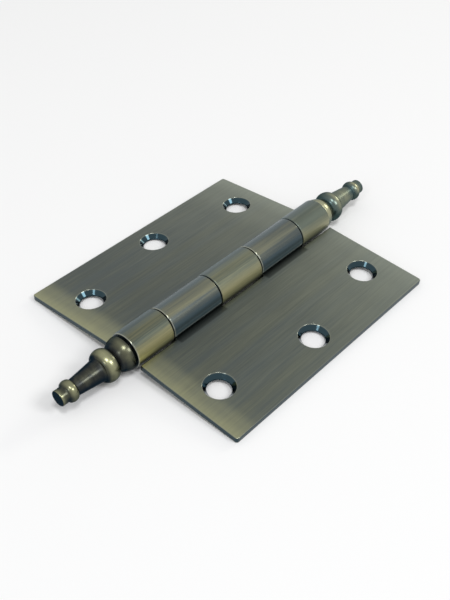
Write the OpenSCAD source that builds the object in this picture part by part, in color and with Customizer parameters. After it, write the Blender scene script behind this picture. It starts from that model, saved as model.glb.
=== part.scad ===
// Butt hinge with five knuckles, square leaves and steeple finials.
// It lies open with the countersinks up: the barrel and the outer edge of each
// leaf touch the surface. +Y runs along the barrel, the leaf with two knuckles
// is on the +X side, and the origin is under the middle of the barrel.

/* [Leaves] */
// Length of both leaves along the barrel
leaf_length = 88.9; // [80:0.1:100]
// Reach of each leaf from the pin's axis to its outer edge
leaf_reach = 43.3; // [40:0.1:52]
// Thickness of the sheet that both leaves are cut and rolled from
sheet_thickness = 1.9; // [1.6:0.1:2.4]
// Height of the pin's axis above the countersunk faces
face_drop = 1.3; // [0.8:0.1:1.8]
// Radius of the outer corners, seen from above
corner_radius = 0.8; // [0.4:0.1:6]
// Radius inside the bend where a leaf turns down into its knuckles
bend_radius = 1.5; // [0.8:0.1:1.6]

/* [Barrel] */
// Length of the knuckle in the middle of the barrel
middle_knuckle = 19.0; // [15:0.1:22]
// Length of each knuckle beside the middle one
inner_knuckle = 20.6; // [17:0.1:22]
// Width of the seam between two knuckles
seam = 0.35; // [0.2:0.05:0.6]
// Width of the bevel around each end of a knuckle
knuckle_bevel = 0.35; // [0.1:0.05:0.6]
// Slit between the rolled end of the sheet and the face of its leaf
roll_slit = 0.35; // [0.2:0.05:0.6]
// Gap between a knuckle and the notch that it turns in
notch_gap = 0.4; // [0.3:0.05:1.2]

/* [Pin] */
// Diameter of the hinge pin
pin_d = 7.94; // [7:0.02:9]
// Radial clearance of the pin in the knuckles
pin_clearance = 0.05; // [0.03:0.01:0.1]
// Diameter of the threaded spigot at each end of the pin
spigot_d = 4.8; // [4:0.1:5.2]
// Length of each spigot
spigot_length = 7; // [5:0.5:10]
// Radial clearance of a spigot in its finial
thread_clearance = 0.05; // [0.03:0.01:0.1]
// Gap between the top finial and the barrel
top_gap = 0.2; // [0.1:0.05:0.8]
// Gap between the bottom finial and the barrel
bottom_gap = 0.8; // [0.1:0.05:1.2]

/* [Finials] */
// Radius of the cup where it faces the barrel
cup_radius = 5.55; // [5:0.05:5.8]
// Length of the cup's rounded flank
cup_length = 4.4; // [4:0.1:5.2]
// Radius of the groove between the cup and the bulb
neck_radius = 3.4; // [3.3:0.05:4]
// Radius of the bulb
bulb_radius = 5.25; // [4.6:0.05:5.6]
// Length of the bulb along the axis
bulb_length = 5.0; // [4.4:0.1:5.6]
// Radius of the steeple where it leaves the bulb
steeple_base_radius = 3.65; // [3.4:0.05:4]
// Radius of the steeple where it meets the bead
steeple_top_radius = 2.6; // [2.2:0.05:3]
// Length of the steeple
steeple_length = 9.2; // [7:0.1:12]
// Radius of the bead
bead_radius = 3.4; // [3.1:0.05:4]
// Length of the bead along the axis
bead_length = 2.9; // [2.4:0.1:3.6]
// Radius of the button at the tip
button_radius = 2.5; // [1.8:0.05:3]
// Length of the button
button_length = 2.5; // [1.5:0.1:4]

/* [Screw holes] */
// Distance between the two end holes of a leaf
end_hole_spacing = 68.2; // [60:0.1:74]
// Distance of the end holes from the pin's axis
end_hole_reach = 27.3; // [22:0.1:34]
// Distance of the middle hole from the pin's axis
middle_hole_reach = 34.2; // [22:0.1:36]
// Diameter of the countersink at the leaf's face
countersink_d = 9.9; // [8:0.1:10.4]
// Full angle of the countersink
countersink_angle = 82; // [60:1:90]
// Length of the straight wall under the countersink
hole_land = 0.4; // [0.3:0.05:0.8]

/* [Hidden] */
$fn = 96;

// A cut runs this far past the surface that it opens
overcut = 1;
// Steps along each rounded stretch of an outline
arc_steps = 10;
// Angles on an ellipse: its crest, the step after that, and where the bulb leaves its groove
crest = 90;
past_crest = crest + 90 / arc_steps;
groove_side = 15;
// Room between the end of a spigot and the bottom of its hole
spigot_end_gap = 0.5;

bore_radius = pin_d / 2 + pin_clearance;
barrel_radius = bore_radius + sheet_thickness;
back_drop = face_drop + sheet_thickness;
notch_reach = barrel_radius + notch_gap;

// The leaves droop until their outer back edges touch the surface under the barrel
droop = asin(barrel_radius / norm([leaf_reach, back_drop])) - atan2(back_drop, leaf_reach);

// Planes of the seams, and the ends of the knuckles of each leaf
middle_seam = middle_knuckle / 2;
outer_seam = middle_seam + inner_knuckle;
leaf_end = leaf_length / 2;
outer_knuckles = [
    [-leaf_end, -outer_seam - seam / 2],
    [-middle_seam + seam / 2, middle_seam - seam / 2],
    [outer_seam + seam / 2, leaf_end]
];
inner_knuckles = [
    [-outer_seam + seam / 2, -middle_seam - seam / 2],
    [middle_seam + seam / 2, outer_seam - seam / 2]
];

// Screw holes as [distance from the axis, place along the barrel]
screw_holes = [
    [end_hole_reach, -end_hole_spacing / 2],
    [middle_hole_reach, 0],
    [end_hole_reach, end_hole_spacing / 2]
];
countersink_depth = sheet_thickness - hole_land;
hole_radius = countersink_d / 2 - countersink_depth * tan(countersink_angle / 2);

// Places along a finial, from the face at the barrel to the tip
bulb_middle = cup_length + bulb_length / 2;
steeple_start = cup_length + bulb_length;
steeple_end = steeple_start + steeple_length;
bead_middle = steeple_end + bead_length / 2;
button_start = steeple_end + bead_length;
finial_length = button_start + button_length;
// The cup's flank is an ellipse that reaches the neck's radius at its far end
cup_semi_axis = cup_length / sqrt(1 - pow(neck_radius / cup_radius, 2));
spigot_hole_depth = spigot_length + spigot_end_gap;

// Points [radius, place] of a quarter or half ellipse that bulges from base_radius
// to top_radius, centred at middle and half_length long on each side
function bulge(base_radius, top_radius, middle, half_length, from, to) = [
    for (i = [0 : arc_steps])
        let (angle = from + (to - from) * i / arc_steps)
        [base_radius + (top_radius - base_radius) * sin(angle), middle - half_length * cos(angle)]
];

// Turns an upright shape so that it runs along the barrel from the place given
module along_barrel(place) {
    translate([0, place, 0]) rotate([-90, 0, 0]) children();
}

// Sets a leaf down: it droops about the pin's axis, which is one barrel radius up
module set_down(side) {
    translate([0, 0, barrel_radius])
        rotate([0, side * droop, 0])
            children();
}

// Outline of the flat sheet beyond the notches, with its two outer corners rounded
module sheet_outline() {
    corner_x = leaf_reach - corner_radius;
    corner_y = leaf_end - corner_radius;
    polygon(concat(
        [[notch_reach, leaf_end], [notch_reach, -leaf_end]],
        [for (i = [0 : arc_steps])
            let (angle = -90 + 90 * i / arc_steps)
            [corner_x + corner_radius * cos(angle), -corner_y + corner_radius * sin(angle)]],
        [for (i = [0 : arc_steps])
            let (angle = 90 * i / arc_steps)
            [corner_x + corner_radius * cos(angle), corner_y + corner_radius * sin(angle)]]
    ));
}

// Round wall of one knuckle, bevelled around both ends
module knuckle_roll(length) {
    rotate_extrude()
        polygon([
            [bore_radius, 0],
            [barrel_radius - knuckle_bevel, 0],
            [barrel_radius, knuckle_bevel],
            [barrel_radius, length - knuckle_bevel],
            [barrel_radius - knuckle_bevel, length],
            [bore_radius, length]
        ]);
}

// Section of the sheet between the notch and the roll. The bend's arc touches the flat back
// and the outside of the roll, and the section's two inner points lie in the roll's wall.
module bend_section() {
    wall_middle = (bore_radius + barrel_radius) / 2;
    wall_x = wall_middle * cos(asin(back_drop / barrel_radius));
    centre_z = -back_drop - bend_radius;
    centre_x = sqrt(pow(barrel_radius + bend_radius, 2) - pow(centre_z, 2));
    roll_angle = atan2(-centre_z, -centre_x);
    polygon(concat(
        [
            [notch_reach, -back_drop],
            [notch_reach, -face_drop],
            [wall_x, -face_drop],
            [-bore_radius * cos(roll_angle), -bore_radius * sin(roll_angle)]
        ],
        [for (i = [arc_steps : -1 : 0])
            let (angle = 90 + (roll_angle - 90) * i / arc_steps)
            [centre_x + bend_radius * cos(angle), centre_z + bend_radius * sin(angle)]]
    ));
}

// One knuckle with the tab of sheet that it is rolled from
module knuckle(ends) {
    length = ends[1] - ends[0];
    difference() {
        union() {
            along_barrel(ends[0]) knuckle_roll(length);
            translate([0, ends[1], 0]) rotate([90, 0, 0]) linear_extrude(length) bend_section();
        }
        along_barrel(ends[0] - overcut)
            cylinder(r = bore_radius, h = length + 2 * overcut);
        translate([bore_radius / 2, ends[0] - overcut, -face_drop])
            cube([notch_reach - bore_radius / 2, length + 2 * overcut, roll_slit]);
    }
}

// Straight hole and countersink of one screw
module screw_hole() {
    rotate_extrude()
        polygon([
            [0, -back_drop - overcut],
            [hole_radius, -back_drop - overcut],
            [hole_radius, -back_drop + hole_land],
            [countersink_d / 2, -face_drop],
            [countersink_d / 2, -face_drop + overcut],
            [0, -face_drop + overcut]
        ]);
}

// One leaf: a flat sheet whose tabs are rolled into knuckles
module leaf(knuckles) {
    difference() {
        union() {
            translate([0, 0, -back_drop]) linear_extrude(sheet_thickness) sheet_outline();
            for (ends = knuckles) knuckle(ends);
        }
        for (place = screw_holes)
            translate([place[0], place[1], 0]) screw_hole();
    }
}

module leaf_three_knuckle() {
    color([0.40, 0.42, 0.36])
        set_down(-1) mirror([1, 0, 0]) leaf(outer_knuckles);
}

module leaf_two_knuckle() {
    color([0.36, 0.39, 0.36])
        set_down(1) leaf(inner_knuckles);
}

// Pin through all the knuckles, with a spigot for a finial at each end
module hinge_pin() {
    pin_start = -leaf_end - bottom_gap;
    pin_end = leaf_end + top_gap;
    color([0.50, 0.48, 0.38])
        translate([0, 0, barrel_radius]) {
            along_barrel(pin_start) cylinder(d = pin_d, h = pin_end - pin_start);
            along_barrel(pin_start - spigot_length)
                cylinder(d = spigot_d, h = pin_end - pin_start + 2 * spigot_length);
        }
}

// Turned finial, standing on the face that meets the pin
module finial() {
    difference() {
        rotate_extrude()
            polygon(concat(
                [[0, 0]],
                [for (i = [0 : arc_steps])
                    let (place = cup_length * i / arc_steps)
                    [cup_radius * sqrt(1 - pow(place / cup_semi_axis, 2)), place]],
                bulge(neck_radius, bulb_radius, bulb_middle, bulb_length / 2, groove_side, crest),
                bulge(steeple_base_radius, bulb_radius, bulb_middle, bulb_length / 2, past_crest, 180),
                bulge(steeple_top_radius, bead_radius, bead_middle, bead_length / 2, 0, crest),
                bulge(button_radius, bead_radius, bead_middle, bead_length / 2, past_crest, 180),
                [[button_radius, finial_length], [0, finial_length]]
            ));
        translate([0, 0, -overcut])
            cylinder(d = spigot_d + 2 * thread_clearance, h = spigot_hole_depth + overcut);
    }
}

module top_finial() {
    color([0.45, 0.43, 0.33])
        translate([0, 0, barrel_radius])
            along_barrel(leaf_end + top_gap) finial();
}

module bottom_finial() {
    color([0.45, 0.43, 0.33])
        translate([0, 0, barrel_radius])
            mirror([0, 1, 0]) along_barrel(leaf_end + bottom_gap) finial();
}

leaf_three_knuckle();
leaf_two_knuckle();
hinge_pin();
top_finial();
bottom_finial();
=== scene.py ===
import math

import bpy
import numpy as np
from bpy.props import FloatProperty, FloatVectorProperty, PointerProperty
from bpy.types import Operator, Panel, PropertyGroup
from mathutils import Matrix, Vector


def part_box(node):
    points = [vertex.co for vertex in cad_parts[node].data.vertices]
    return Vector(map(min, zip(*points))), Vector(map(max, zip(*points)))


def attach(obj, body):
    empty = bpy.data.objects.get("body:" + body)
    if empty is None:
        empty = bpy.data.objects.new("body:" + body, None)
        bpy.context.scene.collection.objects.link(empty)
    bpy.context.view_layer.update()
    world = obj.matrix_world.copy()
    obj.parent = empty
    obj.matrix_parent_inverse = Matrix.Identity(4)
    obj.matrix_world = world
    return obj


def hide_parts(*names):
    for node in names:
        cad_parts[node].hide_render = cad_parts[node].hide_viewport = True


bl_info = {
    "name": "Steeple Tip Butt Hinge",
    "version": (1, 0, 0),
    "blender": (4, 5, 0),
    "location": "View3D > Sidebar > Hinge",
    "description": "Builds an open butt hinge in antique brass, with five knuckles and steeple finials",
    "category": "Add Mesh",
}

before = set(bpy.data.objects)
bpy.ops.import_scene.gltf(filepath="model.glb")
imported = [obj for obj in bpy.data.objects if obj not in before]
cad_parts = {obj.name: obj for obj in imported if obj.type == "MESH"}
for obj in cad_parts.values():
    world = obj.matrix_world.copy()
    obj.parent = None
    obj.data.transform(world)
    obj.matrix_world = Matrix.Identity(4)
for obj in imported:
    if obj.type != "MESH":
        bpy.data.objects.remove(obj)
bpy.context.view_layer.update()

MM = 0.001
# Width of the light line on the crease of a rolled end, a painted highlight, in millimetres
CREASE_LINE = 0.18
# Wear of a knuckle's rounded end, as a share of a leaf edge's: worn bright with a painted highlight,
# and dark at a seam
WORN_AND_LIT_END, DARK_END = 2.2, 0.25
# Angle rolled from the slit to the bend, and the angle of the slit itself, in degrees
ROLLED_TURN = 331.7
SLIT_ANGLE = -11.0
# Angle round the pin, in degrees, of the middle of a finial's lit side, where the lit copy of its
# colours paints light
LIT_SIDE = 57
# Relief added all round the barrel, before the place along it takes some off
BARREL_RELIEF = 0.17
# How strongly haze, the painted shade band and the painted shade strip next to a knuckle cover the flat
# sheet
HAZE_COVER, SHADE_COVER, DEEP_SHADE_COVER = 0.5, 0.5, 0.35
# How strongly worn brass shows on an edge, and a painted highlight on the crease of a rolled end
EDGE_WEAR, CREASE_HIGHLIGHT = 0.24, 0.36
# Roughness of a countersink and of a worn edge, and how metallic the barrel is under its slate and
# painted sheen
CONE_ROUGHNESS, WORN_ROUGHNESS, SLATE_AND_SHEEN_METALLIC = 0.10, 0.15, 0.4
# Roughness in the grooves of a finial and on its crests
GROOVE_ROUGHNESS, CREST_ROUGHNESS = 0.5, 0.26
# Scale of the noise in x, y and z: small along the marks, large across them
BRUSHED = (2600.0, 55.0, 2600.0)
TURNED_BRASS = (60.0, 2200.0, 60.0)
TURNED_STEEL = (80.0, 3000.0, 80.0)
# Points in each curve of a finial's section
CURVE_STEPS = 24
PIN_LOW, PIN_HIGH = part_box("hinge_pin")
TOP_LOW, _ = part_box("top_finial")
_, BOTTOM_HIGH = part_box("bottom_finial")
LEAF_LOW, LEAF_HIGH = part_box("leaf_two_knuckle")
AXIS_HEIGHT = (PIN_LOW.z + PIN_HIGH.z) / 2


def size(name, description, millimetres):
    """A length that a user can change. It is kept in metres."""
    return FloatProperty(
        name=name, description=description, default=millimetres * MM, min=0.0, precision=5,
        subtype="DISTANCE", unit="LENGTH",
    )


def colour(name, description, red, green, blue):
    """A colour that a user can change, as linear light."""
    return FloatVectorProperty(
        name=name, description=description, default=(red, green, blue), min=0.0, max=1.0,
        size=3, subtype="COLOR",
    )


def share(name, description, value):
    """A plain number from 0 to 1 that a user can change."""
    return FloatProperty(
        name=name, description=description, default=value, min=0.0, max=1.0, subtype="FACTOR"
    )


class HingeSheet(PropertyGroup):
    """Sizes of the sheet that both leaves are cut and rolled from."""

    length: size("Length", "Length of a leaf along the barrel", (LEAF_HIGH.y - LEAF_LOW.y) / MM)
    reach: size("Reach", "Distance from the pin's axis to the outer edge", 43.3)
    thickness: size("Thickness", "Thickness of the sheet", 1.9)
    face_drop: size("Face drop", "Height of the pin's axis above the faces", 1.3)
    corner_radius: size("Corner radius", "Radius of the outer corners", 0.8)
    bend_radius: size("Bend radius", "Radius inside the bend into a knuckle", 1.5)
    notch_gap: size("Notch gap", "Gap between a knuckle and the notch that it turns in", 0.4)
    rim: size("Rim", "Width of the border that holds the rounded edge", 0.45)
    face_round: size("Face rounding", "Rounding of the edges of the face", 0.25)
    back_round: size("Back rounding", "Rounding of the edges of the back", 0.2)
    # Edges of the painted shade band on the flat sheet beside the leaf's own knuckles
    shade_end: size("Lee end", "Distance from the axis that the brush cannot get under", 8.65)
    shade_start: size("Lee start", "Distance from the axis where the brushing begins to fade", 8.15)


class HingeBarrel(PropertyGroup):
    """Sizes of the knuckles."""

    middle_knuckle: size("Middle knuckle", "Length of the middle knuckle", 19.0)
    inner_knuckle: size("Inner knuckle", "Length of each knuckle beside the middle one", 20.6)
    seam: size("Seam", "Width of the seam between two knuckles", 0.35)
    bore_radius: size("Bore radius", "Radius of the bore for the pin", 4.02)
    end_round: size("End rounding", "Rounding around each end of a knuckle", 0.35)
    bore_round: size("Bore rounding", "Rounding around each end of the bore", 0.12)
    roll_slit: size("Roll slit", "Slit between the rolled end and the leaf's face", 0.35)
    crease_width: size("Crease width", "Width of the flat strip along the rolled end", 0.6)
    crease_depth: size("Crease depth", "How far that strip leans in at the rolled end", 0.12)


class HingeHoles(PropertyGroup):
    """Sizes of the countersunk screw holes."""

    end_spacing: size("End hole spacing", "Distance between the two end holes", 68.2)
    end_reach: size("End hole reach", "Distance of the end holes from the pin's axis", 27.3)
    middle_reach: size("Middle hole reach", "Distance of the middle hole from the axis", 34.2)
    countersink: size("Countersink", "Diameter of the countersink at the face", 9.9)
    angle: FloatProperty(
        name="Countersink angle", description="Full angle of the countersink",
        default=math.radians(82), subtype="ANGLE", unit="ROTATION",
    )
    land: size("Land", "Length of the straight wall under the countersink", 0.4)
    rim_round: size("Rim rounding", "Rounding of the countersink's rim", 0.2)
    patch: size("Patch", "Half side of the square of sheet around a hole", 7.0)


class HingeFinial(PropertyGroup):
    """Sizes of a turned finial, from its face at the barrel to its tip."""

    cup_radius: size("Cup radius", "Radius where the cup faces the barrel", 5.55)
    cup_length: size("Cup length", "Length of the cup's rounded flank", 4.4)
    neck_radius: size("Neck radius", "Radius of the groove behind the cup", 3.4)
    bulb_radius: size("Bulb radius", "Radius of the bulb", 5.25)
    bulb_length: size("Bulb length", "Length of the bulb", 5.0)
    steeple_base: size("Steeple base", "Radius where the steeple leaves the bulb", 3.65)
    steeple_top: size("Steeple top", "Radius where the steeple meets the bead", 2.6)
    steeple_length: size("Steeple length", "Length of the steeple", 9.2)
    bead_radius: size("Bead radius", "Radius of the bead", 3.4)
    bead_length: size("Bead length", "Length of the bead", 2.9)
    button_radius: size("Button radius", "Radius of the button at the tip", 2.5)
    button_length: size("Button length", "Length of the button", 2.5)
    hole_radius: size("Hole radius", "Radius of the hole for the spigot", 2.45)
    hole_depth: size("Hole depth", "Depth of the hole for the spigot", 7.5)
    softness: size("Softness", "How far polishing has rounded the turned corners", 0.13)


class HingePin(PropertyGroup):
    """Sizes of the pin."""

    radius: size("Radius", "Radius of the pin", 3.97)
    spigot_radius: size("Spigot radius", "Radius of the spigot at each end", 2.4)
    spigot_length: size("Spigot length", "Length of each spigot", 7.0)
    chamfer: size("Chamfer", "Chamfer around each end", 0.3)


class HingeFinish(PropertyGroup):
    """Colours of the antique brass."""

    patina: colour("Patina", "Dark chemical patina on the flat sheet", 0.083, 0.097, 0.094)
    haze: colour("Olive haze", "Warmer patina in clouds over the flat sheet", 0.078, 0.084, 0.064)
    # Painted shade: near-black colour of the band and strip beside the knuckles
    painted_shade: colour("Lee patina", "Patina beside the knuckles, where no brush reaches", 0.008, 0.010, 0.010)
    wear: colour("Worn edges", "Brass that handling has laid bare on the edges", 0.45, 0.45, 0.36)
    # Slate: patina in the countersinks and on the sheet's side walls; round the barrel it is laid by
    # angle as painted shade
    slate: colour("Slate", "Blue-black patina that brushing has not reached", 0.030, 0.053, 0.064)
    # Painted reflection: a blue sheen laid into the barrel's colour by the angle round it
    painted_sheen: colour("Sheen", "Thin blue patina that shows on the barrel", 0.118, 0.165, 0.180)
    brass: colour("Relieved brass", "Brass that brushing has laid bare", 0.300, 0.302, 0.180)
    # Pale brass is also the brass of the top finial's shaded side, part of its painted shade
    pale: colour("Pale brass", "Brass laid bare at the far end of the leaves", 0.275, 0.300, 0.245)
    gold: colour("Bright brass", "Brass at the near end of the barrel", 0.515, 0.472, 0.230)
    straw: colour("Straw brass", "Brass at the far end of the barrel", 0.490, 0.470, 0.290)
    umber: colour("Umber patina", "Brown patina at the near end of the barrel", 0.052, 0.062, 0.053)
    moss: colour("Moss patina", "Patina at the far end of the barrel", 0.102, 0.120, 0.099)
    brown: colour("Brown patina", "Patina of the bottom finial", 0.027, 0.029, 0.028)
    # Painted shade: black for the bottom finial's shaded lower side
    shaded_black: colour("Black patina", "Patina on that finial's lower side", 0.012, 0.018, 0.025)
    teal: colour("Teal patina", "Thinner patina of the top finial", 0.058, 0.090, 0.092)
    # Painted shade: a darker teal for the top finial's shaded lower side
    deep_shade: colour("Deep teal", "Patina on that finial's lower side", 0.034, 0.058, 0.056)
    steel: colour("Steel", "Oiled steel of the pin", 0.16, 0.16, 0.155)
    streaks: share("Streaks", "Contrast of the brushed streaks", 0.22)
    roughness: share("Roughness", "Roughness of the brushed sheet", 0.33)


class HingeStage(PropertyGroup):
    """Camera, floor and light."""

    camera: FloatVectorProperty(
        name="Camera", description="Place of the camera", size=3, subtype="TRANSLATION",
        unit="LENGTH", default=(0.13938, -0.15560, 0.18187),
    )
    heading: FloatVectorProperty(
        name="Heading", description="Direction in which the camera looks", size=3,
        subtype="DIRECTION", default=(-0.50222, 0.55389, -0.66406),
    )
    roll: FloatProperty(
        name="Roll", description="Turn of the camera about its own axis",
        default=math.radians(0.10), subtype="ANGLE", unit="ROTATION",
    )
    lens: FloatProperty(name="Lens", description="Focal length in millimetres", default=52.0)
    floor: colour("Floor", "Colour of the floor", 0.96, 0.96, 0.96)
    fill: share("Fill", "Strength of the light from all round", 0.45)


def outward(points, faces):
    """Turns all faces over if the surface encloses a negative volume, the sum of a . (b x c) / 6."""
    volume = 0.0
    for block in faces:
        for second in range(1, block.shape[1] - 1):
            a, b, c = points[block[:, 0]], points[block[:, second]], points[block[:, second + 1]]
            volume += np.einsum("ij,ij->", a, np.cross(b, c)) / 6
    return faces if volume > 0 else [block[:, ::-1] for block in faces]


def put_piece(name, points, faces, masks, material, body, node):
    """Makes a piece from whole arrays, gives it its masks and finish, attaches it to its body and hides
    its node.
    """
    used = np.unique(np.concatenate([block.ravel() for block in faces]))
    renumber = np.zeros(len(points), int)
    renumber[used] = np.arange(len(used))
    points = points[used]
    faces = outward(points, [renumber[block] for block in faces])
    mesh = bpy.data.meshes.new(name)
    mesh.from_pydata(points.tolist(), [], [face for block in faces for face in block.tolist()])
    mesh.polygons.foreach_set("use_smooth", np.ones(len(mesh.polygons), bool))
    for mask, values in masks.items():
        layer = mesh.attributes.new(mask, "FLOAT", "POINT")
        layer.data.foreach_set("value", values[used].astype(np.float32))
    if mesh.validate():
        raise RuntimeError(f"{name} has faces that had to be mended")
    mesh.materials.append(material)
    piece = bpy.data.objects.new(name, mesh)
    bpy.context.scene.collection.objects.link(piece)
    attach(piece, body)
    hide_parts(node)


def smooth_step(values, start, end):
    """Rises from 0 at start to 1 at end as 3t^2 - 2t^3."""
    t = np.clip((values - start) / (end - start), 0, 1)
    return t * t * (3 - 2 * t)


def grid_lines(breaks, step):
    """Every break, with even steps of about the given length between neighbouring breaks."""
    breaks = np.unique(np.round(breaks, 9))
    stretches = [
        np.linspace(start, end, max(1, round((end - start) / step)) + 1)[:-1]
        for start, end in zip(breaks, breaks[1:])
    ]
    return np.concatenate(stretches + [breaks[-1:]])


class RolledSheet:
    """The bend that turns the flat blank of a leaf into the finished leaf.

    A place on the blank is u, the distance along the sheet's middle from its outer edge, v, the
    place along the barrel, and w, the height above the sheet's middle towards the face.
    """

    def __init__(self, sheet, barrel, side):
        self.side = side
        self.half = sheet.thickness / 2
        self.reach = sheet.reach
        self.middle_drop = sheet.face_drop + self.half
        self.barrel_radius = barrel.bore_radius + sheet.thickness
        self.roll_radius = barrel.bore_radius + self.half
        self.bend_middle = sheet.bend_radius + self.half
        self.bend_z = -sheet.face_drop - sheet.thickness - sheet.bend_radius
        self.bend_x = math.sqrt((self.barrel_radius + sheet.bend_radius) ** 2 - self.bend_z ** 2)
        self.roll_start = math.atan2(self.bend_z, self.bend_x)
        self.bend_turn = math.atan2(-self.bend_z, -self.bend_x) - math.pi / 2
        self.end_height = sheet.face_drop - barrel.roll_slit
        self.flat_length = self.reach - self.bend_x
        self.roll_from = self.flat_length + self.bend_middle * self.bend_turn
        self.length = self.roll_from + self.roll_radius * self.sweep(self.roll_radius)
        self.crease_start = self.length - barrel.crease_width
        self.crease_depth = barrel.crease_depth
        back_drop = sheet.face_drop + sheet.thickness
        tilt = math.asin(self.barrel_radius / math.hypot(self.reach, back_drop))
        self.droop = tilt - math.atan2(back_drop, self.reach)

    def sweep(self, radius):
        """Angle rolled at a radius, from the bend to the level end face over the slit."""
        return self.roll_start + 2 * math.pi + np.arcsin(self.end_height / radius)

    def place(self, u, v, w):
        """Bends blank places: flat, then an arc about the bend's centre, then a ring on the axis."""
        lean = np.clip((u - self.crease_start) / (self.length - self.crease_start), 0, 1)
        w = np.where(w < 0, w * (1 - lean * self.crease_depth / self.half), w)
        bend = math.pi / 2 + np.clip((u - self.flat_length) / self.bend_middle, 0, self.bend_turn)
        ring = self.roll_radius - w
        done = np.clip((u - self.roll_from) / (self.length - self.roll_from), 0, None)
        roll = self.roll_start - done * self.sweep(ring)
        flat_x, flat_z = self.reach - u, w - self.middle_drop
        arc_x = self.bend_x + (self.bend_middle + w) * np.cos(bend)
        arc_z = self.bend_z + (self.bend_middle + w) * np.sin(bend)
        x = np.where(u < self.flat_length, flat_x, arc_x)
        z = np.where(u < self.flat_length, flat_z, arc_z)
        x = np.where(u > self.roll_from, ring * np.cos(roll), x)
        z = np.where(u > self.roll_from, ring * np.sin(roll), z)
        cos, sin = math.cos(self.droop), math.sin(self.droop)
        points = [self.side * (x * cos + z * sin), v, z * cos - x * sin + AXIS_HEIGHT]
        return np.stack(points, axis=-1)

    def roll_share(self, u):
        """Place round the barrel from 0 at the slit, over the top, to 1 where the bend begins."""
        return np.clip((self.length - u) / (self.length - self.roll_from), 0, 1)


def hole_section(holes, sheet):
    """Section of a hole from face to back, as rows of radius, height w, rim mask and cone mask.

    The rim is an arc that is tangent to the face and to the cone, the foot of the land likewise.
    """
    half = sheet.thickness / 2
    slope = math.pi / 2 - holes.angle / 2
    depth = sheet.thickness - holes.land
    top = holes.countersink / 2
    bottom = top - depth * math.tan(holes.angle / 2)
    tangent = holes.rim_round * math.tan(slope / 2)
    turn = np.linspace(0, slope, 6)
    rim = np.stack([
        top + tangent - holes.rim_round * np.sin(turn),
        half - holes.rim_round * (1 - np.cos(turn)),
    ], axis=1)
    edge = np.array([bottom, half - depth])
    along = np.linspace(0, 1, 9)[1:, None]
    cone = rim[-1] + (edge - rim[-1]) * along
    foot = sheet.back_round
    arc = np.linspace(0, math.pi / 2, 5)
    land = np.stack([
        bottom + foot * (1 - np.cos(arc)), -half + foot * (1 - np.sin(arc)),
    ], axis=1)
    section = np.concatenate([rim, cone, land])
    rim_mask = np.zeros(len(section))
    rim_mask[1:len(rim)] = 1
    cone_mask = np.zeros(len(section))
    cone_mask[len(rim) - 1:] = 1
    return section, rim_mask, cone_mask


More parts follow.
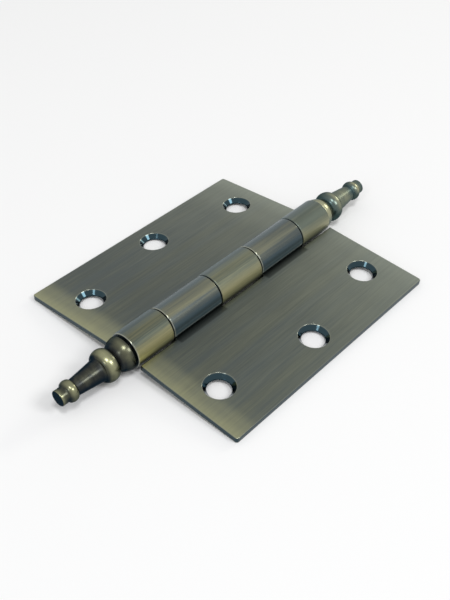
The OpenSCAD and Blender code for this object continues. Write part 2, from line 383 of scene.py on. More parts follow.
def leaf_blank(sheet, barrel, holes, rolled, knuckles):
    """The leaf as a flat blank: points (u, v, w), faces and masks.

    Face and back are one grid of lines in u and v, without the notches and the squares around
    the holes. Each border point of the grid carries a profile from face to back, and the border's
    edges join neighbouring profiles: round the outline it is the rounded edge pushed out along the
    mitred normal (a + b) / (1 + a . b), and at a hole it runs from the square in to the circle,
    through the hole's section, and out again.
    """
    half, rim = sheet.thickness / 2, sheet.rim
    end = sheet.length / 2
    notch = sheet.reach - (barrel.bore_radius + sheet.thickness + sheet.notch_gap)
    centres = np.array([
        [sheet.reach - holes.end_reach, -holes.end_spacing / 2],
        [sheet.reach - holes.middle_reach, 0.0],
        [sheet.reach - holes.end_reach, holes.end_spacing / 2],
    ])
    inner = np.array([[a + rim, b - rim] for a, b in knuckles])
    corner = sheet.corner_radius - rim
    # Spacing of grid lines on the flat and round the barrel, and how near counts as on a square
    coarse, around, touching = 0.7 * MM, 0.32 * MM, 0.14 * MM
    hole_u = np.concatenate([centres[:, 0] - holes.patch, centres[:, 0] + holes.patch])
    hole_v = np.concatenate([centres[:, 1] - holes.patch, centres[:, 1] + holes.patch])
    crease = rolled.crease_start + CREASE_LINE * MM * np.linspace(-2, 2, 9)
    # Grid lines at the edges of the painted shade band
    painted_shade = np.array([sheet.reach - sheet.shade_end, sheet.reach - sheet.shade_start])
    u_flat = grid_lines(np.concatenate([[rim + corner, notch - rim], hole_u, painted_shade]), coarse)
    u_roll = grid_lines(
        np.concatenate([[notch - rim, rolled.flat_length, rolled.roll_from], crease,
                        [rolled.length - rim]]), around)
    u_lines = np.unique(np.round(np.concatenate([
        np.linspace(rim, rim + corner, 5), u_flat, u_roll]), 9))
    v_corner = np.linspace(end - rim - corner, end - rim, 5)
    v_lines = np.unique(np.round(np.concatenate([
        grid_lines(np.concatenate([[rim + corner - end, end - rim - corner], inner.ravel()[
            np.abs(inner.ravel()) < end - rim - corner], hole_v]), coarse),
        v_corner, -v_corner]), 9))
    u_mid, v_mid = np.meshgrid(
        (u_lines[1:] + u_lines[:-1]) / 2, (v_lines[1:] + v_lines[:-1]) / 2, indexing="ij")
    on_tab = np.any([(v_mid > a) & (v_mid < b) for a, b in inner], axis=0)
    in_patch = np.any([
        np.maximum(abs(u_mid - a), abs(v_mid - b)) < holes.patch for a, b in centres], axis=0)
    cells = ((u_mid < notch - rim) | on_tab) & ~in_patch
    number = np.arange(len(u_lines) * len(v_lines)).reshape(len(u_lines), len(v_lines))
    quads = np.stack([
        number[:-1, :-1][cells], number[1:, :-1][cells], number[1:, 1:][cells],
        number[:-1, 1:][cells]], axis=1)
    u, v = (axis.ravel() for axis in np.meshgrid(u_lines, v_lines, indexing="ij"))

    # Outer corners: a square (a, b) becomes a quarter disc (a sqrt(1 - b^2/2), b sqrt(1 - a^2/2))
    a = np.clip((rim + corner - u) / corner, 0, 1)
    b = np.clip((abs(v) - (end - rim - corner)) / corner, 0, 1)
    in_corner = (a > 0) & (b > 0)
    u = np.where(in_corner, rim + corner - corner * a * np.sqrt(1 - b * b / 2), u)
    round_v = np.sign(v) * (end - rim - corner + corner * b * np.sqrt(1 - a * a / 2))
    v = np.where(in_corner, round_v, v)

    # Border edges are those whose reverse is in no other cell
    starts = quads.ravel()
    ends = np.roll(quads, -1, axis=1).ravel()
    count = len(u)
    lone = ~np.isin(starts * count + ends, ends * count + starts)
    starts, ends = starts[lone], ends[lone]
    before, after = np.zeros(count, int), np.zeros(count, int)
    after[starts], before[ends] = ends, starts
    border = np.unique(starts)
    plane = np.stack([u, v], axis=1)
    nearest = np.argmin(
        np.max(abs(plane[border, None] - centres[None]), axis=2), axis=1)
    from_centre = plane[border] - centres[nearest]
    at_hole = np.max(abs(from_centre), axis=1) < holes.patch + touching
    masks = {name: [np.zeros(2 * count)] for name in ("edge", "cone", "wall")}

    # Rounded edge round the outline
    line = border[~at_hole]
    into, out = plane[line] - plane[before[line]], plane[after[line]] - plane[line]
    normals = [
        np.stack([step[:, 1], -step[:, 0]], axis=1) / np.linalg.norm(step, axis=1)[:, None]
        for step in (into, out)]
    mitre = (normals[0] + normals[1]) / (1 + np.sum(normals[0] * normals[1], axis=1))[:, None]
    rolled_part = smooth_step(plane[line, 0], notch, rolled.roll_from)[:, None]
    face_r = sheet.face_round + (barrel.bore_round - sheet.face_round) * rolled_part
    back_r = sheet.back_round + (barrel.end_round - sheet.back_round) * rolled_part
    arc = np.linspace(0, math.pi / 2, 6)[None, :]
    push = np.concatenate([
        rim - face_r * (1 - np.sin(arc)), rim - back_r * (1 - np.cos(arc))], axis=1)
    height = np.concatenate([
        half - face_r * (1 - np.cos(arc)), -half + back_r * (1 - np.sin(arc))], axis=1)
    outline = np.stack([
        plane[line, 0][:, None] + push * mitre[:, :1],
        plane[line, 1][:, None] + push * mitre[:, 1:], height], axis=2)
    edge_row = np.concatenate([np.sin(2 * arc[0]), np.sin(2 * arc[0])])
    wall_row = np.concatenate([np.sin(arc[0]) ** 2, np.cos(arc[0]) ** 2])

    # Lines from each square in to its hole, through it and out again
    ring = border[at_hole]
    section, rim_mask, cone_mask = hole_section(holes, sheet)
    offset = plane[ring] - centres[nearest[at_hole]]
    distance = np.linalg.norm(offset, axis=1)[:, None]
    towards = offset / distance
    steps = np.linspace(0, 1, 7)[None, 1:-1]
    radius = np.concatenate([
        distance + (section[0, 0] - distance) * steps,
        np.repeat(section[None, :, 0], len(ring), axis=0),
        section[-1, 0] + (distance - section[-1, 0]) * steps], axis=1)
    flat = np.ones(steps.shape[1])
    level = np.concatenate([flat * half, section[:, 1], -flat * half])
    middle = centres[nearest[at_hole]]
    hole_points = np.stack([
        middle[:, :1] + radius * towards[:, :1], middle[:, 1:] + radius * towards[:, 1:],
        np.repeat(level[None], len(ring), axis=0)], axis=2)
    hole_rim = np.concatenate([flat * 0, rim_mask, flat * 0])
    hole_cone = np.concatenate([flat * 0, cone_mask, flat * 0])

    points = [
        np.stack([u, v, np.full(count, half)], axis=1),
        np.stack([u, v, np.full(count, -half)], axis=1)]
    faces = [quads, quads[:, ::-1] + count]
    total = 2 * count
    profiles = (
        (line, outline, edge_row, edge_row * 0, wall_row),
        (ring, hole_points, hole_rim, hole_cone, hole_rim * 0))
    for owners, profile, edges, cones, walls in profiles:
        rows, columns = profile.shape[:2]
        table = total + np.arange(rows * columns).reshape(rows, columns)
        table = np.concatenate([owners[:, None], table, owners[:, None] + count], axis=1)
        row_of = np.full(count, -1)
        row_of[owners] = np.arange(rows)
        here = row_of[starts] >= 0
        first, second = table[row_of[starts[here]]], table[row_of[ends[here]]]
        strip = np.stack([second[:, :-1], first[:, :-1], first[:, 1:], second[:, 1:]], axis=2)
        faces.append(strip.reshape(-1, 4))
        points.append(profile.reshape(-1, 3))
        for name, values in (("edge", edges), ("cone", cones), ("wall", walls)):
            masks[name].append(np.tile(values, rows))
        total += rows * columns
    joined = {name: np.concatenate(values) for name, values in masks.items()}
    return np.concatenate(points), faces, joined


def build_leaf(context, name, side, knuckles, bright_ends, material, body, node):
    """Makes one leaf: its blank, bent along the sheet's middle line. The knuckle ends at the places
    bright_ends are worn bright and carry a painted highlight, the other ends inside the barrel are
    kept dark by the seams."""
    sheet, barrel = context.scene.hinge_sheet, context.scene.hinge_barrel
    rolled = RolledSheet(sheet, barrel, side)
    blank, faces, masks = leaf_blank(sheet, barrel, context.scene.hinge_holes, rolled, knuckles)
    u = blank[:, 0]
    masks["roll"] = rolled.roll_share(u)
    masks["barrel"] = smooth_step(u, rolled.flat_length, rolled.roll_from)
    # Painted shade: a dark band beside the leaf's own knuckles, and a strip that deepens it towards the
    # bend
    beside = np.any([(blank[:, 1] > a) & (blank[:, 1] < b) for a, b in knuckles], axis=0)
    beside = beside * (1 - masks["barrel"])
    masks["painted_shade"] = beside * np.clip(
        (u - sheet.reach + sheet.shade_end) / (sheet.shade_end - sheet.shade_start), 0, 1)
    masks["deep_shade"] = beside * smooth_step(u, sheet.reach - sheet.shade_start, rolled.flat_length)
    # Painted highlight: a thin light line along the crease of a rolled end
    from_crease = (u - rolled.crease_start) / (CREASE_LINE * MM)
    masks["crease"] = np.exp(-from_crease ** 2) * (blank[:, 2] < 0)
    at_seam = np.abs(blank[:, 1]) < sheet.length / 2 - sheet.rim
    worn_and_lit_end = np.any([np.abs(blank[:, 1] - place) < sheet.rim for place in bright_ends], axis=0)
    gain = np.where(worn_and_lit_end, WORN_AND_LIT_END, np.where(at_seam, DARK_END, 1.0))
    masks["edge"] = masks["edge"] * (1 + (gain - 1) * masks["barrel"])
    points = rolled.place(u, blank[:, 1], blank[:, 2])
    put_piece(name, points, faces, masks, material, body, node)


def soft_profile(corners, softness, spacing):
    """Rounds a half section (radius, place) by averaging it along its length with a bell curve.

    Beyond each end the section carries on mirrored in the axis, so both ends stay on the axis.
    """
    step = softness / 6
    lengths = np.concatenate([[0], np.cumsum(np.linalg.norm(np.diff(corners, axis=0), axis=1))])
    samples = np.linspace(0, lengths[-1], int(lengths[-1] / step) + 1)
    line = np.stack([np.interp(samples, lengths, corners[:, i]) for i in (0, 1)], axis=1)
    reach = int(4 * softness / step)
    mirror = np.array([-1, 1])
    padded = np.concatenate([
        line[reach:0:-1] * mirror, line, line[-2:-reach - 2:-1] * mirror])
    bell = np.exp(-0.5 * (np.arange(-reach, reach + 1) * step / softness) ** 2)
    bell /= bell.sum()
    smooth = np.stack([np.convolve(padded[:, i], bell, "valid") for i in (0, 1)], axis=1)
    picked = np.linspace(0, len(smooth) - 1, int(lengths[-1] / spacing) + 1).round().astype(int)
    smooth = smooth[picked]
    smooth[[0, -1], 0] = 0
    return smooth


def turned(profile, start, direction, segments):
    """Surface of revolution about the pin's axis: (r cos t, start + direction s, r sin t)."""
    radius, place = profile[1:-1, 0], profile[1:-1, 1]
    angle = np.linspace(0, 2 * math.pi, segments, endpoint=False)
    rows = len(radius)
    rings = np.stack([
        radius[:, None] * np.cos(angle),
        np.repeat((start + direction * place)[:, None], segments, axis=1),
        AXIS_HEIGHT + radius[:, None] * np.sin(angle)], axis=2).reshape(-1, 3)
    poles = np.array([
        [0, start + direction * profile[0, 1], AXIS_HEIGHT],
        [0, start + direction * profile[-1, 1], AXIS_HEIGHT]])
    number = np.arange(rows * segments).reshape(rows, segments)
    beside = np.roll(number, -1, axis=1)
    quads = np.stack([number[:-1], number[1:], beside[1:], beside[:-1]], axis=2).reshape(-1, 4)
    first, last = np.full(segments, rows * segments), np.full(segments, rows * segments + 1)
    caps = np.concatenate([
        np.stack([first, number[0], beside[0]], axis=1),
        np.stack([last, beside[-1], number[-1]], axis=1)])
    spread = np.concatenate([
        np.repeat(np.arange(1, rows + 1), segments), [0, rows + 1]])
    return np.concatenate([rings, poles]), [quads, caps], spread


def ellipse(base, crest, middle, half_length, start, end):
    """Part of an ellipse that bulges from base to crest, between two angles in degrees."""
    angle = np.radians(np.linspace(start, end, CURVE_STEPS))
    return np.stack([
        base + (crest - base) * np.sin(angle), middle - half_length * np.cos(angle)], axis=1)


def finial_profile(sizes):
    """Half section of a finial: hole, cup, groove, bulb, steeple, bead, button and flat tip."""
    semi_axis = sizes.cup_length / math.sqrt(1 - (sizes.neck_radius / sizes.cup_radius) ** 2)
    place = np.linspace(0, sizes.cup_length, CURVE_STEPS)
    cup = np.stack([sizes.cup_radius * np.sqrt(1 - (place / semi_axis) ** 2), place], axis=1)
    bulb = sizes.cup_length + sizes.bulb_length / 2
    steeple_end = sizes.cup_length + sizes.bulb_length + sizes.steeple_length
    bead = steeple_end + sizes.bead_length / 2
    tip = steeple_end + sizes.bead_length + sizes.button_length
    return np.concatenate([
        [[0, sizes.hole_depth], [sizes.hole_radius, sizes.hole_depth], [sizes.hole_radius, 0]],
        cup,
        ellipse(sizes.neck_radius, sizes.bulb_radius, bulb, sizes.bulb_length / 2, 15, 90),
        ellipse(sizes.steeple_base, sizes.bulb_radius, bulb, sizes.bulb_length / 2, 91, 180),
        ellipse(sizes.steeple_top, sizes.bead_radius, bead, sizes.bead_length / 2, 0, 90),
        ellipse(sizes.button_radius, sizes.bead_radius, bead, sizes.bead_length / 2, 91, 180),
        [[sizes.button_radius, tip], [0, tip]],
    ])


def build_finial(context, name, start, direction, material, node):
    """Makes one finial. Its crest mask is its radius less the radius averaged along its length."""
    sizes = context.scene.hinge_finial
    profile = soft_profile(finial_profile(sizes), sizes.softness, 0.2 * MM)
    points, faces, row = turned(profile, start, direction, 96)
    window, full_crest, end_depth = 15, 0.6 * MM, 0.02 * MM
    width = 2 * window + 1
    averaged = np.convolve(np.pad(profile[:, 0], window, "edge"), np.ones(width) / width, "valid")
    crest = np.clip((profile[:, 0] - averaged) / full_crest, -1, 1)
    tip = (sizes.cup_length + sizes.bulb_length + sizes.steeple_length + sizes.bead_length
           + sizes.button_length)
    angle = np.arctan2(points[:, 2] - AXIS_HEIGHT, points[:, 0])
    masks = {
        "crest": crest[row],
        "length": (profile[:, 1] / tip)[row],
        "flat_end": (profile[:, 1] > tip - end_depth)[row] * 1.0,
        # Painted light and shade: this side takes the lit copy of the finish, the rest the shaded copy
        "lit_side": smooth_step(np.cos(angle - math.radians(LIT_SIDE)), 0.5, 0.95),
    }
    put_piece(name, points, faces, masks, material, "pin", node)


def fill(tree, made, inputs):
    """Links the inputs of a node that are given a socket and sets the others."""
    for key, value in inputs.items():
        if isinstance(value, bpy.types.NodeSocket):
            tree.links.new(value, made.inputs[key])
        else:
            made.inputs[key].default_value = value
    return made


def node(tree, kind, inputs=None, **settings):
    """Adds a shader node, sets it up, and fills its inputs."""
    made = tree.nodes.new(kind)
    for key, value in settings.items():
        setattr(made, key, value)
    return fill(tree, made, inputs or {})


def calculate(tree, operation, *values):
    """Output of a Math node."""
    return node(tree, "ShaderNodeMath", dict(enumerate(values)), operation=operation).outputs[0]


def mix_values(tree, factor, a, b):
    """Blend of two numbers, a at factor 0 and b at factor 1."""
    return node(tree, "ShaderNodeMix", {0: factor, 2: a, 3: b}, data_type="FLOAT").outputs[0]


def mix_colours(tree, factor, a, b):
    """Blend of two colours, a at factor 0 and b at factor 1."""
    colours = {0: factor, 6: rgba(a), 7: rgba(b)}
    return node(tree, "ShaderNodeMix", colours, data_type="RGBA").outputs[2]


def mask(tree, name):
    """A mask that the mesh carries."""
    return node(tree, "ShaderNodeAttribute", attribute_name=name).outputs["Fac"]


def ramp(tree, value, stops):
    """A smooth curve of grey values through (place, value) stops."""
    made = node(tree, "ShaderNodeValToRGB", {0: value})
    made.color_ramp.interpolation = "EASE"
    elements = made.color_ramp.elements
    while len(elements) < len(stops):
        elements.new(0.5)
    for element, (place, _) in zip(elements, stops):
        element.position = place
    for element, (_, grey) in zip(elements, stops):
        element.color = (grey, grey, grey, 1)
    return made.outputs["Color"]


def new_group(name, inputs, outputs):
    """A new shader node group with named sockets, and the nodes of its inputs and its outputs."""
    group = bpy.data.node_groups.new(name, "ShaderNodeTree")
    for socket, kind, default in inputs:
        made = group.interface.new_socket(socket, in_out="INPUT", socket_type=kind)
        if default is not None:
            made.default_value = default
    for socket, kind in outputs:
        group.interface.new_socket(socket, in_out="OUTPUT", socket_type=kind)
    return group, group.nodes.new("NodeGroupInput"), group.nodes.new("NodeGroupOutput")


def grain_group():
    """Streaks of a brush: wide, broad and fine noise, drawn out by the Stretch vector. Cloud is
    the wide noise alone, spread over the range from 0 to 1."""
    name = "Brushed grain"
    if name in bpy.data.node_groups:
        return bpy.data.node_groups[name]
    group, given, result = new_group(
        name,
        [("Vector", "NodeSocketVector", None), ("Stretch", "NodeSocketVector", (1, 1, 1))],
        [("Streak", "NodeSocketFloat"), ("Hairline", "NodeSocketFloat"),
         ("Cloud", "NodeSocketFloat")])
    drawn = node(group, "ShaderNodeVectorMath",
                 {0: given.outputs["Vector"], 1: given.outputs["Stretch"]}, operation="MULTIPLY")
    wide, broad, fine = (
        node(group, "ShaderNodeTexNoise", {"Vector": drawn.outputs[0], "Scale": scale,
                                           "Detail": detail, "Roughness": 0.6}).outputs["Fac"]
        for scale, detail in ((0.06, 1.0), (0.5, 4.0), (1.5, 3.0)))
    # Half the sum of the three weights is taken off, so that Streak swings about 0
    streak = calculate(group, "ADD", calculate(group, "MULTIPLY", wide, 0.7),
                       calculate(group, "MULTIPLY_ADD", broad, 1.2, calculate(
                           group, "MULTIPLY", fine, 1.6)))
    group.links.new(calculate(group, "SUBTRACT", streak, 1.75), result.inputs["Streak"])
    group.links.new(fine, result.inputs["Hairline"])
    group.links.new(node(group, "ShaderNodeMapRange", {0: wide, 1: 0.35, 2: 0.65}).outputs[0],
                    result.inputs["Cloud"])
    return group


def aged_group():
    """Antique brass: patina where Relief is 0 and bare brass where it is 1, broken by streaks."""
    name = "Aged brass"
    if name in bpy.data.node_groups:
        return bpy.data.node_groups[name]
    group, given, result = new_group(
        name,
        [("Relief", "NodeSocketFloat", 0.3), ("Streak", "NodeSocketFloat", 0.0),
         ("Contrast", "NodeSocketFloat", 0.2), ("Patina", "NodeSocketColor", None),
         ("Brass", "NodeSocketColor", None)],
        [("Color", "NodeSocketColor")])
    swing = calculate(group, "MULTIPLY", given.outputs["Streak"], given.outputs["Contrast"])
    relief = node(group, "ShaderNodeClamp",
                  {0: calculate(group, "ADD", given.outputs["Relief"], swing)}).outputs[0]
    shade = mix_colours(group, relief, given.outputs["Patina"], given.outputs["Brass"])
    group.links.new(shade, result.inputs["Color"])
    return group


def use_group(tree, group, inputs):
    """Places a node group in a material."""
    return node(tree, "ShaderNodeGroup", inputs, node_tree=group)


def new_material(name):
    """A material with an empty tree, its Principled BSDF and its output."""
    material = bpy.data.materials.new(name)
    material.use_nodes = True
    tree = material.node_tree
    tree.nodes.clear()
    shader = node(tree, "ShaderNodeBsdfPrincipled", {"Metallic": 1.0})
    node(tree, "ShaderNodeOutputMaterial", {"Surface": shader.outputs[0]})
    return material, tree, shader


def rgba(shade):
    """A colour as four numbers for a socket. A socket that is to be linked stays as it is."""
    return shade if isinstance(shade, bpy.types.NodeSocket) else (*shade, 1.0)


def round_barrel(stops):
    """Stops given by the angle in degrees, from the leaf's own side over the top, as ramp places."""
    return tuple(((angle - SLIT_ANGLE) / ROLLED_TURN, value) for angle, value in stops)


def leaf_material(name, finish, sheet, gloss, grounds, face, worn, relief, slate, painted_sheen):
    """Brushed sheet. Face gives the relief by the place along the leaf, worn what the outer half
    has more; relief, slate and the painted sheen go by the angle round the barrel, over a ground
    that changes from the first colour at the near end to the second at the far end. Round the
    barrel these stops are partly brass laid bare and patina, partly painted highlight, painted
    shade and painted reflection."""
    material, tree, shader = new_material(name)
    place = node(tree, "ShaderNodeTexCoord").outputs["Object"]
    axes = node(tree, "ShaderNodeSeparateXYZ", {0: place}).outputs
    along = node(tree, "ShaderNodeMapRange",
                 {0: axes["Y"], 1: -sheet.length / 2, 2: sheet.length / 2}).outputs[0]
    outer = node(tree, "ShaderNodeMapRange", {
        0: calculate(tree, "ABSOLUTE", axes["X"]), 1: 0.25 * sheet.reach, 2: 0.9 * sheet.reach,
        4: worn}).outputs[0]
    # Dull and less lower the relief of the barrel by the place along it
    dull = ramp(tree, along, ((0.0, 1.0), (0.3, 1.0), (0.4, 0.9), (0.78, 0.9), (0.9, 0.64)))
    less = ramp(tree, along, ((0.3, 0.17), (0.4, 0.11), (0.6, 0.11), (0.78, 0.17)))
    barrel, roll = mask(tree, "barrel"), mask(tree, "roll")
    # Round the barrel the relief stops are partly brass laid bare, partly painted highlight
    around = calculate(tree, "ADD", ramp(tree, roll, round_barrel(relief)), BARREL_RELIEF)
    bare = mix_values(tree, barrel, calculate(tree, "ADD", ramp(tree, along, face), outer),
                      calculate(tree, "SUBTRACT", calculate(
                          tree, "MULTIPLY", around, dull), less))
    grain = use_group(tree, grain_group(), {"Vector": place, "Stretch": BRUSHED})
    cloud = calculate(tree, "MULTIPLY", grain.outputs["Cloud"], HAZE_COVER)
    flat = mix_colours(tree, cloud, finish.patina, finish.haze)
    ground = mix_colours(tree, along, *grounds)
    bright = mix_colours(tree, along, finish.brass, finish.pale)
    gilt = mix_colours(tree, along, finish.gold, finish.straw)
    aged = use_group(tree, aged_group(), {
        "Relief": bare, "Streak": grain.outputs["Streak"], "Contrast": finish.streaks,
        "Patina": mix_colours(tree, barrel, flat, ground),
        "Brass": mix_colours(tree, barrel, bright, gilt)})
    # Painted reflection: a blue sheen laid round the barrel by the angle
    blue = calculate(tree, "MULTIPLY", barrel, ramp(tree, roll, round_barrel(painted_sheen)))
    tint = mix_colours(tree, blue, aged.outputs["Color"], finish.painted_sheen)
    # Painted shade: slate laid round the barrel by the angle; the countersinks and side walls take
    # slate as their patina
    black = calculate(tree, "MULTIPLY", barrel, ramp(tree, roll, round_barrel(slate)))
    slate_and_sheen = calculate(tree, "MAXIMUM", black, blue)
    black = calculate(tree, "MAXIMUM", calculate(tree, "MAXIMUM", mask(tree, "cone"),
                                                 mask(tree, "wall")), black)
    tint = mix_colours(tree, black, tint, finish.slate)
    # Painted shade: the band and strip beside the knuckles darken towards the painted shade colour
    painted_shade = calculate(tree, "MULTIPLY_ADD", mask(tree, "painted_shade"), SHADE_COVER,
                    calculate(tree, "MULTIPLY", mask(tree, "deep_shade"), DEEP_SHADE_COVER))
    tint = mix_colours(tree, painted_shade, tint, finish.painted_shade)
    # Worn brass on the edges, and a painted highlight along the crease, in the worn-edge colour
    crease = mask(tree, "crease")
    wear = calculate(tree, "MULTIPLY", mask(tree, "edge"), EDGE_WEAR)
    wear_and_highlight = calculate(tree, "MULTIPLY_ADD", crease, CREASE_HIGHLIGHT, wear)
    tint = mix_colours(tree, wear_and_highlight, tint, finish.wear)
    rough = mix_values(tree, barrel, finish.roughness, gloss)
    rough = mix_values(tree, mask(tree, "cone"), rough, CONE_ROUGHNESS)
    rough = mix_values(
        tree, calculate(tree, "MAXIMUM", mask(tree, "edge"), crease), rough, WORN_ROUGHNESS)
    bump = node(tree, "ShaderNodeBump",
                {"Height": grain.outputs["Hairline"], "Strength": 0.18, "Distance": 0.06 * MM})
    fill(tree, shader, {
        "Base Color": tint, "Metallic": mix_values(tree, slate_and_sheen, 1.0, SLATE_AND_SHEEN_METALLIC),
        "Roughness": rough, "Normal": bump.outputs[0]})
    return material


def finial_material(name, patina, shaded_patina, brass, pale, lit, shaded):
    """Polished turned brass: its relief goes by the place along the finial. Its colours come in a
    lit copy and a shaded copy, as painted light and shade: patina, brass and lit are for the lit
    side, the shaded patina, pale and shaded for the shaded lower side."""
    material, tree, shader = new_material(name)
    place = node(tree, "ShaderNodeTexCoord").outputs["Object"]
    length = mask(tree, "length")
    lit_side = mask(tree, "lit_side")
    lie = mix_values(tree, lit_side, ramp(tree, length, shaded), ramp(tree, length, lit))
    grain = use_group(tree, grain_group(), {"Vector": place, "Stretch": TURNED_BRASS})
    cloud = node(tree, "ShaderNodeTexNoise", {"Vector": place, "Scale": 420.0, "Detail": 3.0})
    # Noise from 0 to 1 is spread over the range from -1 to 1
    blotch = calculate(tree, "MULTIPLY_ADD", cloud.outputs["Fac"], 2.0, -1.0)
    aged = use_group(tree, aged_group(), {
        "Relief": calculate(tree, "MULTIPLY_ADD", mask(tree, "crest"), 0.08, lie),
        "Streak": calculate(tree, "MULTIPLY_ADD", grain.outputs["Streak"], 0.4, blotch),
        "Contrast": 0.15, "Patina": mix_colours(tree, lit_side, shaded_patina, patina),
        "Brass": mix_colours(tree, lit_side, pale, brass)})
    rough = node(tree, "ShaderNodeMapRange", {
        0: mask(tree, "crest"), 1: -1.0, 2: -0.2, 3: GROOVE_ROUGHNESS,
        4: CREST_ROUGHNESS}).outputs[0]
    bump = node(tree, "ShaderNodeBump",
                {"Height": grain.outputs["Hairline"], "Strength": 0.03, "Distance": 0.04 * MM})
    fill(tree, shader, {
        # The flat end of the tip takes the shaded patina too, as painted shade
        "Base Color": mix_colours(tree, mask(tree, "flat_end"), aged.outputs["Color"], shaded_patina),
        "Roughness": rough, "Specular Tint": (0.45, 0.48, 0.50, 1.0),
        "Normal": bump.outputs[0]})
    return material


def pin_material(finish):
    """Oiled steel with faint turning marks."""
    material, tree, shader = new_material("pin_steel_turned")
    place = node(tree, "ShaderNodeTexCoord").outputs["Object"]
    grain = use_group(tree, grain_group(), {"Vector": place, "Stretch": TURNED_STEEL})
    aged = use_group(tree, aged_group(), {
        "Relief": 0.5, "Streak": grain.outputs["Streak"], "Contrast": 0.3,
        "Patina": rgba(finish.brown), "Brass": rgba(finish.steel)})
    fill(tree, shader, {"Base Color": aged.outputs["Color"], "Roughness": 0.3})
    return material


class HINGE_OT_leaves(Operator):
    """Build both leaves, each rolled from one sheet"""

    bl_idname = "hinge.leaves"
    bl_label = "Leaves"

    def execute(self, context):
        sheet, barrel = context.scene.hinge_sheet, context.scene.hinge_barrel
        finish = context.scene.hinge_finish
        gap, end = barrel.seam / 2, sheet.length / 2
        near = barrel.middle_knuckle / 2
        far = near + barrel.inner_knuckle
        outer = ((-end, -far - gap), (-near + gap, near - gap), (far + gap, end))
        inner = ((-far + gap, -near - gap), (near + gap, far - gap))
        olive = leaf_material(
            "antique_brass_leaf_olive", finish, sheet, gloss=0.42,
            grounds=(finish.umber, finish.moss), worn=0.0,
            face=((0.0, 0.82), (0.05, 0.46), (0.11, 0.05), (0.20, 0.0), (0.5, 0.08),
                  (0.75, 0.18), (0.90, 0.38), (1.0, 0.66)),
            relief=((-11, 0.0), (76, 0.0), (86, 0.10), (98, 0.14), (112, 0.11), (128, 0.03),
                    (137, 0.06), (146, 0.25), (158, 0.46), (164, 0.62), (170, 0.78),
                    (177, 0.94), (184, 0.70), (196, 0.27), (215, 0.1), (320, 0.05)),
            slate=((-11, 0.0), (54, 0.0), (62, 0.15), (70, 0.26), (80, 0.10), (88, 0.0),
                   (190, 0.0), (205, 0.4), (320, 0.5)),
            painted_sheen=((-11, 1.0), (50, 1.0), (62, 0.6), (74, 0.33), (92, 0.2), (104, 0.0),
                   (320, 0.0)))
        dark = leaf_material(
            "antique_brass_leaf_dark", finish, sheet, gloss=0.26,
            grounds=(finish.patina, finish.patina), worn=0.13,
            face=((0.0, 0.64), (0.05, 0.34), (0.10, 0.04), (0.15, 0.0), (0.5, 0.06),
                  (0.75, 0.21), (0.90, 0.36), (1.0, 0.54)),
            relief=((-11, 0.6), (-6, 0.2), (-2, 0.02), (50, 0.02), (64, 0.26), (76, 0.15),
                    (84, 0.14), (94, 0.05), (100, 0.02), (320, 0.02)),
            slate=((-11, 0.0), (-4, 0.25), (4, 0.67), (12, 0.67), (20, 1.0), (29, 1.0),
                   (36, 0.5), (42, 0.08), (50, 0.0), (96, 0.0), (106, 0.35), (118, 0.47),
                   (126, 0.35), (150, 0.35), (320, 0.6)),
            painted_sheen=((-11, 1.0), (10, 1.0), (18, 0.0), (90, 0.0), (106, 0.4), (124, 0.7),
                   (150, 0.7), (200, 0.0)))
        build_leaf(context, "rolled_leaf_three_knuckle", -1, outer, (-end,), olive,
                   "frame_leaf", "leaf_three_knuckle")
        build_leaf(context, "rolled_leaf_two_knuckle", 1, inner, [first for first, _ in inner],
                   dark, "door_leaf", "leaf_two_knuckle")
        return {"FINISHED"}


class HINGE_OT_finials(Operator):
    """Build the two turned finials"""

    bl_idname = "hinge.finials"
    bl_label = "Finials"

    def execute(self, context):
        finish = context.scene.hinge_finish
        # Painted light and shade: each finial has a lit copy and a shaded copy of its colours
        light = finial_material(
            "antique_brass_finial_light", finish.teal, finish.deep_shade, finish.straw, finish.pale,
            lit=((0.0, 0.52), (0.07, 0.60), (0.12, 0.95), (0.155, 0.55), (0.19, 0.02),
                 (0.24, 0.06), (0.30, 0.34), (0.35, 0.25), (0.48, 0.24), (0.56, 0.29),
                 (0.62, 0.25), (0.71, 0.10), (0.76, 0.0), (0.80, 0.14), (0.85, 0.56),
                 (0.90, 0.34), (0.95, 0.08), (0.98, 0.0)),
            shaded=((0.0, 0.56), (0.07, 0.75), (0.12, 1.0), (0.17, 0.8), (0.20, 0.0),
                    (0.25, 0.0), (0.31, 0.08), (0.37, 0.24), (0.44, 0.52), (0.66, 0.48),
                    (0.73, 0.32), (0.77, 0.04), (0.85, 0.06), (0.90, 0.20), (0.95, 0.34),
                    (0.98, 0.0)))
        dark = finial_material(
            "antique_brass_finial_dark", finish.brown, finish.shaded_black, finish.brass, finish.brass,
            lit=((0.0, 0.03), (0.07, 0.26), (0.12, 0.15), (0.16, 0.04), (0.22, 0.03),
                 (0.26, 0.58), (0.30, 0.80), (0.34, 0.76), (0.38, 0.14), (0.43, 0.04),
                 (0.50, 0.05), (0.70, 0.05), (0.77, 0.04), (0.81, 0.60), (0.86, 0.54),
                 (0.90, 0.12), (0.95, 0.18), (1.0, 0.6)),
            shaded=((0.0, 0.0), (0.07, 0.06), (0.12, 0.02), (0.20, 0.10), (0.25, 0.28),
                    (0.30, 0.44), (0.35, 0.26), (0.38, 0.02), (0.46, 0.0), (0.68, 0.0),
                    (0.76, 0.02), (0.80, 0.24), (0.85, 0.26), (0.90, 0.08), (0.94, 0.06),
                    (1.0, 0.34)))
        build_finial(context, "turned_top_finial", TOP_LOW.y, 1, light, "top_finial")
        build_finial(context, "turned_bottom_finial", BOTTOM_HIGH.y, -1, dark, "bottom_finial")
        return {"FINISHED"}


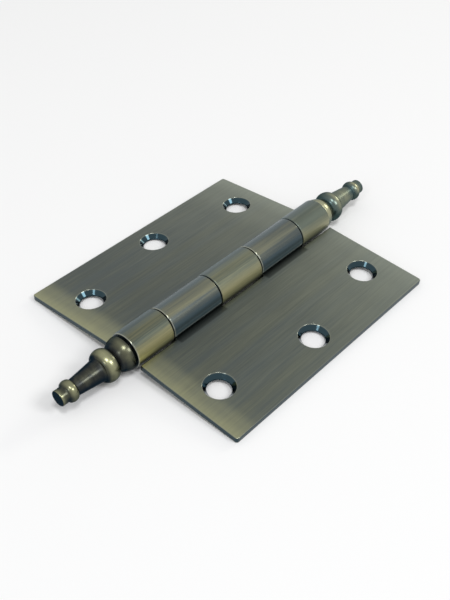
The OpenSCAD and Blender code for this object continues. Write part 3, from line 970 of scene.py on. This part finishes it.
class HINGE_OT_pin(Operator):
    """Build the pin that runs through all five knuckles"""

    bl_idname = "hinge.pin"
    bl_label = "Pin"

    def execute(self, context):
        sizes = context.scene.hinge_pin
        full, spigot, cut = PIN_HIGH.y - PIN_LOW.y, sizes.spigot_length, sizes.chamfer
        half_section = np.array([
            [0, 0], [sizes.spigot_radius - cut, 0], [sizes.spigot_radius, cut],
            [sizes.spigot_radius, spigot], [sizes.radius - cut, spigot],
            [sizes.radius, spigot + cut], [sizes.radius, full - spigot - cut],
            [sizes.radius - cut, full - spigot], [sizes.spigot_radius, full - spigot],
            [sizes.spigot_radius, full - cut], [sizes.spigot_radius - cut, full], [0, full]])
        profile = soft_profile(half_section, 0.05 * MM, 0.4 * MM)
        points, faces, _ = turned(profile, PIN_LOW.y, 1, 64)
        put_piece("turned_pin", points, faces, {}, pin_material(context.scene.hinge_finish),
                  "pin", "hinge_pin")
        return {"FINISHED"}


def softbox(name, azimuth, elevation, radiance, width, tint=(1, 1, 1), distance=2.0):
    """A square lamp that faces the hinge. Its power is its radiance times pi times its area."""
    lamp = bpy.data.lights.new(name, "AREA")
    lamp.shape = "SQUARE"
    lamp.size = width
    lamp.energy = radiance * math.pi * width * width
    lamp.color = tint
    holder = bpy.data.objects.new(name, lamp)
    bpy.context.scene.collection.objects.link(holder)
    turn, rise = math.radians(azimuth), math.radians(elevation)
    towards = Vector((
        math.cos(rise) * math.cos(turn), math.cos(rise) * math.sin(turn), math.sin(rise)))
    holder.location = towards * distance
    holder.rotation_euler = towards.to_track_quat("Z", "Y").to_euler()


def background_world(fill):
    """White to the camera, to mirrors and through glass, and a softer fill on all surfaces."""
    world = bpy.data.worlds.new("white_room")
    world.use_nodes = True
    tree = world.node_tree
    tree.nodes.clear()
    path = node(tree, "ShaderNodeLightPath")
    seen = calculate(tree, "MAXIMUM", path.outputs["Is Camera Ray"], calculate(
        tree, "MAXIMUM", path.outputs["Is Glossy Ray"], path.outputs["Is Transmission Ray"]))
    shade = node(tree, "ShaderNodeBackground",
                 {"Color": (1, 1, 1, 1), "Strength": mix_values(tree, seen, fill, 1.0)})
    node(tree, "ShaderNodeOutputWorld", {"Surface": shade.outputs[0]})
    bpy.context.scene.world = world


def stage_floor(tint):
    """A wide plain floor just under the hinge."""
    half = 3.0
    under = -0.05 * MM
    mesh = bpy.data.meshes.new("floor")
    mesh.from_pydata([(-half, -half, under), (half, -half, under), (half, half, under),
                      (-half, half, under)], [], [(0, 1, 2, 3)])
    material, tree, shader = new_material("floor_plain")
    fill(tree, shader, {"Metallic": 0.0, "Base Color": rgba(tint), "Roughness": 1.0,
                        "Specular IOR Level": 0.0})
    mesh.materials.append(material)
    floor = bpy.data.objects.new("floor", mesh)
    bpy.context.scene.collection.objects.link(floor)


class HINGE_OT_stage(Operator):
    """Set up the camera, the floor and soft studio light"""

    bl_idname = "hinge.stage"
    bl_label = "Stage"

    def execute(self, context):
        stage = context.scene.hinge_stage
        lens = bpy.data.cameras.new("camera")
        lens.sensor_fit = "AUTO"
        lens.sensor_width = 36.0
        lens.lens = stage.lens
        lens.clip_start = 0.01
        camera = bpy.data.objects.new("camera", lens)
        context.scene.collection.objects.link(camera)
        turn = Vector(stage.heading).to_track_quat("-Z", "Y").to_matrix()
        turn = turn @ Matrix.Rotation(stage.roll, 3, "Z")
        camera.matrix_world = Matrix.Translation(Vector(stage.camera)) @ turn.to_4x4()
        context.scene.camera = camera
        background_world(stage.fill)
        stage_floor(stage.floor)
        softbox("softbox_side", 19, 44, 10.0, 0.58)
        softbox("softbox_high", -24, 71, 14.0, 0.50)
        softbox("softbox_front", -74, 40, 8.0, 0.40)
        softbox("softbox_low", -84, 20, 3.0, 0.42, (0.50, 0.70, 1.0))
        softbox("softbox_back", 82, 20, 6.0, 0.50, (1.0, 0.97, 0.86))
        context.scene.view_settings.view_transform = "Standard"
        return {"FINISHED"}


class HINGE_PT_panel(Panel):
    """Lists what the hinge is built from"""

    bl_idname = "HINGE_PT_panel"
    bl_label = "Butt Hinge"
    bl_space_type = "VIEW_3D"
    bl_region_type = "UI"
    bl_category = "Hinge"

    def draw(self, context):
        for operator in OPERATORS:
            self.layout.operator(operator.bl_idname)


OPERATORS = (HINGE_OT_stage, HINGE_OT_leaves, HINGE_OT_finials, HINGE_OT_pin)
SETTINGS = {
    "hinge_sheet": HingeSheet, "hinge_barrel": HingeBarrel, "hinge_holes": HingeHoles,
    "hinge_finial": HingeFinial, "hinge_pin": HingePin, "hinge_finish": HingeFinish,
    "hinge_stage": HingeStage,
}


def register():
    for kind in (*SETTINGS.values(), *OPERATORS, HINGE_PT_panel):
        bpy.utils.register_class(kind)
    for name, kind in SETTINGS.items():
        setattr(bpy.types.Scene, name, PointerProperty(type=kind))


def unregister():
    for name in SETTINGS:
        delattr(bpy.types.Scene, name)
    for kind in reversed((*SETTINGS.values(), *OPERATORS, HINGE_PT_panel)):
        bpy.utils.unregister_class(kind)


def main():
    register()
    bpy.ops.hinge.stage()
    bpy.ops.hinge.leaves()
    bpy.ops.hinge.finials()
    bpy.ops.hinge.pin()


if __name__ == "__main__":
    main()
